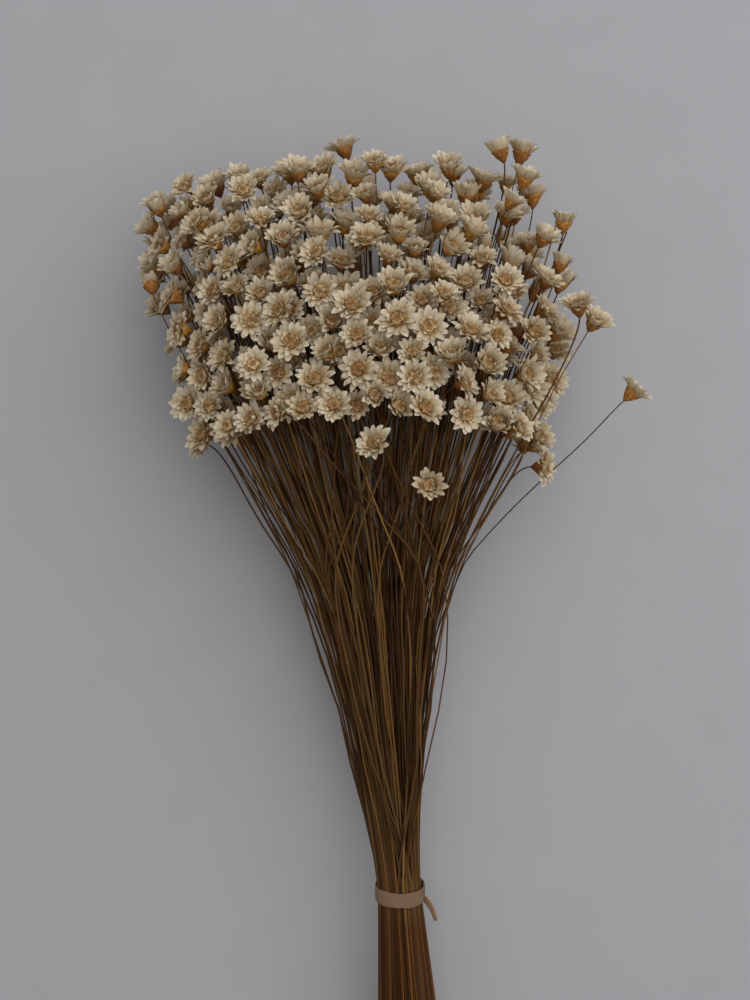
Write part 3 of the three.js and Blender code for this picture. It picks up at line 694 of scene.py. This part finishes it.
# The angle of a bloom's petals over its plane, in degrees: of one at the rim, and what is added for looking
# along the bunch, for being closed, for being one of the few that stayed shut, and by chance.
RIM_ANGLE, TOP_ANGLE, SHUT_ANGLE, RARE_ANGLE, ANGLE_SPREAD, RARE_POWER = 4, 32, 40, 40, 7, 6
FLAT_LENGTH, LENGTH_PER_DEGREE = 0.88, 0.003

# How much a petal differs from its ring: its place, as a share of the way to the next petal, its angles at
# root and tip in degrees and their limits, its length and width as shares, and its roll in radians. Then
# how deep it is cupped and how far its tip curls, in shares of its width and in millimetres.
PLACE_SPREAD, ROOT_SPREAD, TIP_SPREAD = 0.13, 6, 15
LENGTH_SPREAD, WIDTH_SPREAD, ROLL_SPREAD = 0.09, 0.11, 0.24
ROOT_LIMITS, TIP_LIMITS, LEAST_BEND = (15, 100), (-18, 125), 0.02
CUPPING, CURL, CURL_SPREAD, CURL_HEIGHT = (0.05, 0.55), 0.05, 0.34, 0.6
BLOOM_TONE, PETAL_TONE = 0.55, 0.45


def petal_template():
    """Corner numbers of one petal: a front grid, a back grid of inner points only, and an edge that both
    share."""
    rows, columns = len(PETAL_ROWS), len(PETAL_COLUMNS)
    front = np.arange(rows * columns).reshape(rows, columns)
    back = front.copy()
    back[1:-1, 1:-1] = rows * columns + np.arange((rows - 2) * (columns - 2)).reshape(rows - 2, columns - 2)
    return np.concatenate([quads_of(front), quads_of(back)[:, ::-1]])


def petal_half_width(t):
    """Half the width as a share of the whole: a power of a sine that starts part of the way up, is widest
    past the middle and falls steeply to a blunt tip."""
    return 0.5 * np.sin(np.pi * (OUTLINE_START + OUTLINE_WAY * t**OUTLINE_SKEW)) ** OUTLINE_BLUNT


def make_petals(f, rng):
    """All petals as one array: each one's draws, its middle line, and its two surfaces about that line."""
    first, second, face = bloom_axes(f)
    look = np.clip(f["face"][:, 1], 0, 1)
    shut = SHUT_ANGLE * (1 - f["open"]) + RARE_ANGLE * rng.random(len(look)) ** RARE_POWER
    bloom_angle = RIM_ANGLE + TOP_ANGLE * look + shut + ANGLE_SPREAD * rng.normal(0, 1, len(look))
    ring = np.concatenate([np.full(entry[0], number) for number, entry in enumerate(RINGS)])
    place = np.concatenate([
        (np.arange(entry[0]) + 0.5 * (number % 2)) / entry[0] for number, entry in enumerate(RINGS)
    ])
    _, root, lift, low_angle, high_angle, reach, width = np.array(RINGS, float)[ring].T
    count, petals = len(look), len(ring)
    shape = (count, petals)
    size = f["size"][:, None]

    spacing = 1 / np.array([entry[0] for entry in RINGS])[ring]
    angle = 2 * np.pi * (place + spacing * rng.normal(0, PLACE_SPREAD, shape))
    low = bloom_angle[:, None] + low_angle + rng.normal(0, ROOT_SPREAD, shape)
    high = bloom_angle[:, None] + high_angle + rng.normal(0, TIP_SPREAD, shape)
    low, high = np.radians(np.clip(low, *ROOT_LIMITS)), np.radians(np.clip(high, *TIP_LIMITS))
    bend = np.where(np.abs(high - low) < LEAST_BEND, LEAST_BEND, high - low)
    opened = FLAT_LENGTH + LENGTH_PER_DEGREE * bloom_angle[:, None]
    reach = reach * size * rng.normal(1, LENGTH_SPREAD, shape) * opened
    width = width * size * rng.normal(1, WIDTH_SPREAD, shape)
    roll = rng.normal(0, ROLL_SPREAD, shape)
    cupping = rng.uniform(*CUPPING, shape)
    curl = rng.normal(CURL, CURL_SPREAD, shape)

    # The middle line: an arc whose angle turns evenly from root to tip, so that its place is a difference
    # of sines.
    t = PETAL_ROWS
    slant = low[..., None] + bend[..., None] * t
    outward, upward = np.sin(slant) - np.sin(low)[..., None], np.cos(slant) - np.cos(low)[..., None]
    r = (root * size)[..., None] + reach[..., None] * outward / bend[..., None]
    h = (lift * size)[..., None] - reach[..., None] * upward / bend[..., None]

    # Across: cupped by the square of the way to the edge, with a tip that curls in or out.
    s = PETAL_COLUMNS
    half = width[..., None] * petal_half_width(t)
    tip = (curl[..., None] * t**3)[..., None] * CURL_HEIGHT
    rise = cupping[..., None, None] * half[..., None] * s**2 + tip
    sideways = half[..., None] * s
    thick = 0.5 * PETAL_THICKNESS * (1 - s**2)

    radial = first[:, None] * np.cos(angle)[..., None] + second[:, None] * np.sin(angle)[..., None]
    tangent = second[:, None] * np.cos(angle)[..., None] - first[:, None] * np.sin(angle)[..., None]
    radial, tangent, up = radial[:, :, None, None], tangent[:, :, None, None], face[:, None, None, None]
    inward = up * np.cos(slant)[..., None, None] - radial * np.sin(slant)[..., None, None]
    across = tangent * np.cos(roll)[..., None, None, None] + inward * np.sin(roll)[..., None, None, None]
    middle = f["centre"][:, None, None, None] + radial * r[..., None, None] + up * h[..., None, None]
    surface = middle + across * sideways[..., None] + inward * rise[..., None]
    front = (surface + inward * thick[:, None]).reshape(count, petals, -1, 3)
    back = (surface - inward * thick[:, None])[:, :, 1:-1, 1:-1].reshape(count, petals, -1, 3)
    points = np.concatenate([front, back], axis=2)

    grid_uv = np.stack(np.broadcast_arrays(0.5 + 0.5 * s, t[:, None]), axis=2)
    uv = np.concatenate([grid_uv.reshape(-1, 2), grid_uv[1:-1, 1:-1].reshape(-1, 2)])
    uv = np.broadcast_to(uv, (count, petals) + uv.shape)
    bloom_tone = rng.random((count, 1))
    tone = np.clip(BLOOM_TONE * bloom_tone + PETAL_TONE * rng.random(shape), 0, 1)
    tone = np.repeat(tone[..., None], points.shape[2], axis=2)
    return points, [petal_template()], uv, tone


petals = make_petals(flowers, rng)
print("petals:", petals[0].shape[0] * petals[0].shape[1], "with faces each:", len(petals[1][0]))


# %% [markdown]
# ## The band
#
# One flat elastic, wound tight round the stems and tucked, with a short loose tail at its knot. It is a
# strip with rounded edges carried round a circle, slightly wider and narrower as it is stretched over the
# stems. It sits tilted, lower in front than behind, and a little above the middle of its solid. Its tail is
# the same section, narrowing, carried along a short curve.

# %% The band and its tail
BAND_AROUND, BAND_SECTION = 96, 14
TAIL_ROUTE = np.array([[0, 0], [1.5, -1.6], [2.7, -3.5], [3.5, -5.5], [4.1, -7.6]])
TAIL_ROOT, TAIL_WIDTH, TAIL_RINGS = 8.1, 3.0, 15
TAIL_TURN, TAIL_NARROWING = np.radians(50), 0.45
TAIL_DROP, TAIL_CURL, TAIL_CURL_ANGLE = 1.0, 0.5, 2.6
BAND_TILT, BAND_LIFT, BAND_WIDENED = 0.24, 2.6, 1.15

# Ripples round the band, each with its height, how many there are and its start in radians.
WIDTH_RIPPLES, THICKNESS_RIPPLE, PLACE_RIPPLE = ((0.035, 5, 0.4), (0.03, 11, 2)), (0.1, 7, 0), (0.1, 3, 1)
MAP_PER_RADIAN, TAIL_MAP, BAND_TONE = 10, 2, (0.4, 0.6)


def ripple(turn, height, number, start):
    return height * np.sin(number * turn + start)


def bulge(share):
    return np.sign(share) * np.sqrt(np.abs(share))


def strip_section(width, thickness, count):
    """A flat strip's section as a superellipse: roots of the cosine and sine square the ellipse off."""
    angle = np.arange(count) * 2 * np.pi / count
    return 0.5 * thickness * bulge(np.cos(angle)), 0.5 * width * bulge(np.sin(angle))


def make_band(rng):
    """The ring, a grid that is closed both ways, and then the tail, which is a tube."""
    out, along = strip_section(BAND_WIDTH, BAND_THICKNESS, BAND_SECTION)
    turn = np.arange(BAND_AROUND) * 2 * np.pi / BAND_AROUND
    widened = sum((ripple(turn, *each) for each in WIDTH_RIPPLES), BAND_WIDENED)
    radius = BAND_INNER + 0.5 * BAND_THICKNESS + out * (1 + ripple(turn, *THICKNESS_RIPPLE))[:, None]
    middle = BAND_LIFT + BAND_TILT * BAND_INNER * np.sin(turn) + ripple(turn, *PLACE_RIPPLE)
    y = along * widened[:, None] + middle[:, None]
    ring = np.stack([radius * np.cos(turn)[:, None], y, AXIS_HEIGHT - radius * np.sin(turn)[:, None]], axis=2)

    t = np.linspace(0, 1, TAIL_RINGS)
    knots = np.linspace(0, 1, len(TAIL_ROUTE))
    route = np.stack([np.polyval(np.polyfit(knots, line, 3), t) for line in TAIL_ROUTE.T], axis=1)
    ahead = unit(np.gradient(route, axis=0))
    thin, flat = strip_section(TAIL_WIDTH, BAND_THICKNESS, BAND_SECTION)
    flat = flat * (1 - TAIL_NARROWING * t[:, None])
    out = thin * np.cos(TAIL_TURN) - flat * np.sin(TAIL_TURN)
    x = TAIL_ROOT + route[:, :1] + ahead[:, 1:] * out
    y = route[:, 1:] - ahead[:, :1] * out
    z = AXIS_HEIGHT - TAIL_DROP + thin * np.sin(TAIL_TURN) + flat * np.cos(TAIL_TURN)
    z = z + TAIL_CURL * np.sin(TAIL_CURL_ANGLE * t[:, None])
    tail = np.stack([x, y, z], axis=2)
    ends = tail[[0, -1]].mean(axis=1)

    number = np.arange(BAND_AROUND * BAND_SECTION).reshape(BAND_AROUND, BAND_SECTION)
    tail_walls, tail_ends = closed_tube(TAIL_RINGS, BAND_SECTION)
    quads = np.concatenate([quads_of(np.pad(number, (0, 1), mode="wrap")), tail_walls + number.size])
    points = np.concatenate([ring.reshape(-1, 3), tail.reshape(-1, 3), ends])
    section = np.arange(BAND_SECTION) / BAND_SECTION
    ring_uv = np.stack(np.broadcast_arrays(section, MAP_PER_RADIAN * turn[:, None]), axis=2).reshape(-1, 2)
    tail_uv = np.stack(np.broadcast_arrays(section, TAIL_MAP * t[:, None]), axis=2).reshape(-1, 2)
    uv = np.concatenate([ring_uv, tail_uv, [[0, 0], [0, TAIL_MAP]]])
    return points, [quads, tail_ends + number.size], uv, rng.uniform(*BAND_TONE, len(points))


# %% [markdown]
# ## Finishes
#
# Each finish is a small network of shader nodes. Written out by hand such a network is long, so one class
# wraps a socket and turns arithmetic on it into Math nodes, and one method makes any other node. The
# finishes then read like formulas: streaks along a petal, times its tone, plus the gold at its root.

# %% Shader helpers
class Varying:
    """A number that changes over a surface. Adding, multiplying and so on with it makes Math nodes."""

    def __init__(self, finish, socket):
        self.finish, self.socket = finish, socket

    def math(self, operation, *others):
        return self.finish.node("ShaderNodeMath", {"operation": operation}, dict(enumerate((self, *others))))

    def __add__(self, other):
        return self.math("ADD", other)

    def __mul__(self, other):
        return self.math("MULTIPLY", other)

    def __sub__(self, other):
        return self.math("SUBTRACT", other)

    def __rsub__(self, other):
        return self.finish.node("ShaderNodeMath", {"operation": "SUBTRACT"}, {0: other, 1: self})

    def __pow__(self, other):
        return self.math("POWER", other)

    __radd__, __rmul__ = __add__, __mul__

    def clamped(self):
        return self.finish.node("ShaderNodeClamp", {}, {"Value": self})


class Finish:
    """A material and its nodes. A socket is given a number, a colour or another node's Varying."""

    def __init__(self, name):
        self.material = bpy.data.materials.new(name)
        self.material.use_nodes = True
        self.tree = self.material.node_tree
        self.shader = self.tree.nodes["Principled BSDF"]

    def node(self, kind, settings, sockets, output=0):
        made = self.tree.nodes.new(kind)
        for name, value in settings.items():
            setattr(made, name, value)
        self.feed(made, sockets)
        return Varying(self, made.outputs[output])

    def feed(self, made, sockets):
        for name, value in sockets.items():
            if isinstance(value, Varying):
                self.tree.links.new(value.socket, made.inputs[name])
            else:
                made.inputs[name].default_value = value

    def blend(self, share, first, second, how="MIX"):
        """A colour between two, by a share from 0 to 1, or one colour times or over another."""
        settings = {"data_type": "RGBA", "blend_type": how}
        return self.node("ShaderNodeMix", settings, {0: share, 6: first, 7: second}, output=2)

    def place_on_map(self, across, along, shift):
        """A point for a texture: the piece's own map, stretched each way, and moved by a number that
        differs from one petal or stem to the next, so that no two are alike. Also the map's own number
        along the piece."""
        spot = self.node("ShaderNodeUVMap", {"uv_map": "surface"}, {})
        apart = self.node("ShaderNodeSeparateXYZ", {}, {"Vector": spot})
        u, v = apart, Varying(self, apart.socket.node.outputs[1])
        return self.node("ShaderNodeCombineXYZ", {}, {"X": u * across, "Y": v * along, "Z": shift}), v

    def tone(self):
        return self.node("ShaderNodeAttribute", {"attribute_name": "tone"}, {}, output=2)

    def noise(self, spot, scale, detail):
        return self.node("ShaderNodeTexNoise", {}, {"Vector": spot, "Scale": scale, "Detail": detail})

    def bump(self, height, distance, strength=1.0):
        return self.node("ShaderNodeBump", {}, {"Height": height, "Distance": distance, "Strength": strength})


# %% [markdown]
# A petal is dry paper: cream, gold where it leaves the cup and nearly white toward its tip, partly its own
# pale colour and partly a painted highlight, with fine veins from root to tip. Light comes through it, which
# keeps the shaded side of a bloom warm, so two fifths of its shader is translucent.

# %% Petal finish
LIGHT_THROUGH = 0.42


def petal_finish():
    paper = Finish("dry_petal_paper")
    tone = paper.tone()
    spot, along = paper.place_on_map(9.0, 0.9, tone * 37.0)
    veins = paper.noise(spot, 1.6, 3.0)
    blotches = paper.noise(paper.place_on_map(1.1, 1.3, tone * 91.0)[0], 2.0, 2.0)
    # Partly painted highlight: the petal grows nearly white toward its tip, partly its own pale colour.
    cream_and_painted_tip_highlight = paper.blend(along ** 0.9, (0.62, 0.44, 0.185, 1), (0.87, 0.82, 0.68, 1))
    aged = paper.blend(((tone - 0.45) * 1.2).clamped() * blotches, cream_and_painted_tip_highlight, (0.56, 0.40, 0.18, 1))
    veined = paper.blend(((veins - 0.5) * 1.8).clamped(), aged, (0.45, 0.30, 0.13, 1))
    root = ((0.20 - along) * 6.0).clamped()
    gold = paper.blend(root, veined, (0.60, 0.36, 0.11, 1))
    paper.feed(paper.shader, {
        "Base Color": gold, "Roughness": 0.34 + veins * 0.22, "Specular IOR Level": 0.6,
        "Normal": paper.bump(veins, 0.00012),
    })
    through = paper.node("ShaderNodeBsdfTranslucent", {}, {"Color": gold})
    surface = Varying(paper, paper.shader.outputs[0])
    mixed = paper.node("ShaderNodeMixShader", {}, {0: LIGHT_THROUGH, 1: surface, 2: through})
    paper.feed(paper.tree.nodes["Material Output"], {"Surface": mixed})
    return paper.material


# %% [markdown]
# A cup is golden brown, darker toward the stem, and no two are quite the same. Its scales are drawn by
# cells of a Voronoi texture on the cup's own map, stretched along it: the distance to the cell's middle
# gives each scale its raised middle and thin dark edge.

# %% Cup finish
def cup_finish():
    scales = Finish("golden_scales")
    tone = scales.tone()
    spot, along = scales.place_on_map(14.0, 5.0, tone * 50.0)
    cells = scales.node("ShaderNodeTexVoronoi", {"distance": "EUCLIDEAN"}, {"Vector": spot, "Scale": 1.0})
    fine = scales.noise(spot, 2.4, 4.0)
    brown = scales.blend(tone, (0.15, 0.043, 0.009, 1), (0.42, 0.155, 0.022, 1))
    golden = scales.blend(tone, (0.38, 0.122, 0.015, 1), (0.80, 0.37, 0.060, 1))
    body = scales.blend((along * 1.25).clamped(), brown, golden)
    edged = scales.blend((cells * 1.1).clamped() * 0.8, body, (0.07, 0.025, 0.008, 1))
    dusted = scales.blend((fine - 0.42).clamped() * 0.4, edged, (0.78, 0.48, 0.14, 1))
    scales.feed(scales.shader, {
        "Base Color": dusted, "Roughness": 0.46 + fine * 0.25, "Specular IOR Level": 0.25,
        "Normal": scales.bump(1.0 - cells, 0.00025),
    })
    return scales.material


# %% Disc finish
def disc_finish():
    florets = Finish("seeded_florets")
    tone = florets.tone()
    spot, along = florets.place_on_map(9.0, 3.0, tone * 50.0)
    cells = florets.node("ShaderNodeTexVoronoi", {}, {"Vector": spot, "Scale": 1.6})
    tan = florets.blend(tone, (0.38, 0.21, 0.060, 1), (0.68, 0.49, 0.23, 1))
    pitted = florets.blend(((cells - 0.3) * 1.8).clamped(), tan, (0.13, 0.055, 0.018, 1))
    pitted = florets.blend(((along - 0.62) * 2.2).clamped(), pitted, (0.23, 0.110, 0.030, 1))
    florets.feed(florets.shader, {
        "Base Color": pitted, "Roughness": 0.75,
        "Normal": florets.bump(1.0 - cells, 0.0004),
    })
    return florets.material


# %% [markdown]
# Stems run from dark brown to straw. Each keeps its colour from end to end, but for the last 12 cm below
# the band, which get a painted shade that makes them darker and more red. The stem's map counts centimetres
# from the cut end. Fine streaks run along them.

# %% Stem finish
CUT_TO_BAND = 12.2


def stem_finish():
    straw = Finish("dry_wiry_stem")
    tone = straw.tone()
    spot, along = straw.place_on_map(3.0, 0.35, tone * 70.0)
    streaks = straw.noise(spot, 3.0, 3.0)
    hue = straw.node("ShaderNodeMath", {"operation": "FRACT"}, {0: tone * 13.0})
    dark = straw.blend((tone * 1.4).clamped(), (0.024, 0.0092, 0.0022, 1), (0.088, 0.037, 0.0088, 1))
    olive = straw.blend(((hue - 0.55) * 1.8).clamped(), dark, (0.084, 0.047, 0.017, 1))
    colour = straw.blend(((tone - 0.72) * 3.2).clamped(), olive, (0.26, 0.138, 0.040, 1))
    # Painted shade: the last 12 cm below the band are multiplied darker and more red.
    low = ((CUT_TO_BAND - along) * 1.2).clamped()
    shade_painted_below_band = straw.blend(low, colour, (0.74, 0.58, 0.46, 1), "MULTIPLY")
    streaked = straw.blend((streaks - 0.35).clamped() * 0.8, shade_painted_below_band, (0.022, 0.009, 0.003, 1))
    straw.feed(straw.shader, {
        "Base Color": streaked, "Roughness": 0.48 + streaks * 0.3, "Specular IOR Level": 0.1,
        "Normal": straw.bump(streaks, 0.00008),
    })
    return straw.material


# %% [markdown]
# The elastic is flat tan rubber, matt, with the fine cross ribs of a stretched band and a little dust.

# %% Band finish
def band_finish():
    rubber = Finish("tan_elastic")
    spot, _ = rubber.place_on_map(1.0, 1.0, 0.0)
    ribs = rubber.node("ShaderNodeTexWave", {"wave_type": "BANDS", "bands_direction": "Y"},
                       {"Vector": spot, "Scale": 2.2, "Distortion": 1.6, "Detail": 2.0, "Detail Scale": 1.4})
    dust = rubber.noise(spot, 5.0, 5.0)
    tan = rubber.blend(dust, (0.28, 0.162, 0.088, 1), (0.40, 0.242, 0.138, 1))
    ribbed = rubber.blend((1.0 - ribs) * 0.22, tan, (0.18, 0.11, 0.07, 1))
    rubber.feed(rubber.shader, {
        "Base Color": ribbed, "Roughness": 0.62 + dust * 0.2,
        "Normal": rubber.bump(ribs + dust * 0.4, 0.00015),
    })
    return rubber.material


# %% [markdown]
# ## Putting the bunch together
#
# One spray of the frame becomes four pieces: its stems, cups, petals and discs. They stay apart because
# each has its own finish, and a spray can then be shown, hidden or recoloured on its own. Two flowers have
# lost their bloom, so only their stems are taken.

# %% The pieces of every spray
finishes = {"stem": stem_finish(), "cup": cup_finish(), "bract": petal_finish(), "floret": disc_finish()}
kinds = {
    "stems": (stems, "stem"), "cups": (cups, "cup"), "petals": (petals, "bract"), "discs": (discs, "floret"),
}
total = 0
for number, members in enumerate(sprays, 1):
    for kind, ((points, faces, uv, tone), slot) in kinds.items():
        taken = members if kind == "stems" else members[flowers["blooms"][members]]
        shape = points[taken].reshape(-1, points.shape[-2], 3)
        name = f"{kind}_{number:02d}"
        faces = [copies(part, len(shape), shape.shape[1]) for part in faces]
        piece = add_piece(name, shape, faces, uv[taken], tone[taken], finishes[slot])
        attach(piece, "root")
        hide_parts(f"spray_{number:02d}")
        total += triangle_count(piece)
print("triangles in the sprays:", total)

# %% The band
points, faces, uv, tone = make_band(rng)
band = add_piece("elastic_band", points, faces, uv, tone, band_finish())
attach(band, "root")
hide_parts("tie_band")
print("triangles in the band:", triangle_count(band))


# %% [markdown]
# ## Floor, light and camera
#
# The photograph looks straight at the bunch, which here lies on its side, so the camera looks down on it,
# square to its middle line. How much the front of the band hangs below its sides in the photograph says
# that the camera was about half a metre away. The floor is plain and pale, and the light is broad and soft,
# from the upper right.

# %% Camera
from mathutils import Matrix, Vector

SENSOR_HEIGHT = 36.0
LENS, DISTANCE = 53.0, 500.0
AIM = Vector((-8.5, 135.0, 32.0))


def from_tie(point):
    """A place in millimetres from the middle of the band, in the frame."""
    return Vector(point) * MM + Vector(SHIFT)


def look_at(thing, place, target, upward):
    """Puts a lamp or camera at a place, its own -Z toward the target and its own Y as near as can be to
    upward."""
    back = (place - target).normalized()
    right = upward.cross(back).normalized()
    turning = Matrix([right, back.cross(right), back]).transposed()
    thing.matrix_world = Matrix.Translation(place) @ turning.to_4x4()


camera_data = bpy.data.cameras.new("camera")
camera_data.sensor_fit, camera_data.sensor_height, camera_data.lens = "VERTICAL", SENSOR_HEIGHT, LENS
camera = bpy.data.objects.new("camera", camera_data)
bpy.context.scene.collection.objects.link(camera)
square_on = Vector((0.0, -AXIS_RISE, 1.0)).normalized()
look_at(camera, from_tie(AIM + square_on * DISTANCE), from_tie(AIM), Vector((0, 1, 0)))
bpy.context.scene.camera = camera
print("camera at", [round(x, 3) for x in camera.matrix_world.translation])

# %% Floor
FLOOR_SIZE = 6.0
floor_finish = Finish("pale_floor")
grain = floor_finish.node("ShaderNodeTexCoord", {}, {}, output=3)
speckle = floor_finish.noise(grain, 40.0, 3.0)
pale = floor_finish.blend(speckle, (0.328, 0.330, 0.348, 1), (0.353, 0.355, 0.374, 1))
floor_finish.feed(floor_finish.shader, {"Base Color": pale, "Roughness": 0.9})
floor_mesh = bpy.data.meshes.new("floor")
corner = 0.5 * FLOOR_SIZE
corners = [(-corner, -corner, 0), (corner, -corner, 0), (corner, corner, 0), (-corner, corner, 0)]
floor_mesh.from_pydata(corners, [], [(0, 1, 2, 3)])
floor_mesh.materials.append(floor_finish.material)
floor = bpy.data.objects.new("floor", floor_mesh)
bpy.context.scene.collection.objects.link(floor)


# %% Lights
LIT_PLACE, LAMP_UPWARD = (0, 150, 25), Vector((0, 1, 0.1))
ROOM_COLOUR, ROOM_STRENGTH = (0.82, 0.80, 0.78, 1), 0.36


def soft_light(name, place, size, watts, colour):
    lamp = bpy.data.lights.new(name, "AREA")
    lamp.shape, lamp.size, lamp.energy, lamp.color = "DISK", size, watts, colour
    made = bpy.data.objects.new(name, lamp)
    bpy.context.scene.collection.objects.link(made)
    look_at(made, from_tie(place), from_tie(LIT_PLACE), LAMP_UPWARD)


soft_light("window", (400, 470, 930), 1.9, 13.4, (0.99, 0.99, 1.0))
soft_light("fill", (-200, 100, 1200), 2.4, 3.2, (1.0, 0.99, 0.98))
world = bpy.data.worlds.new("room")
world.use_nodes = True
world.node_tree.nodes["Background"].inputs["Color"].default_value = ROOM_COLOUR
world.node_tree.nodes["Background"].inputs["Strength"].default_value = ROOM_STRENGTH
bpy.context.scene.world = world
bpy.context.scene.view_settings.view_transform = "Standard"
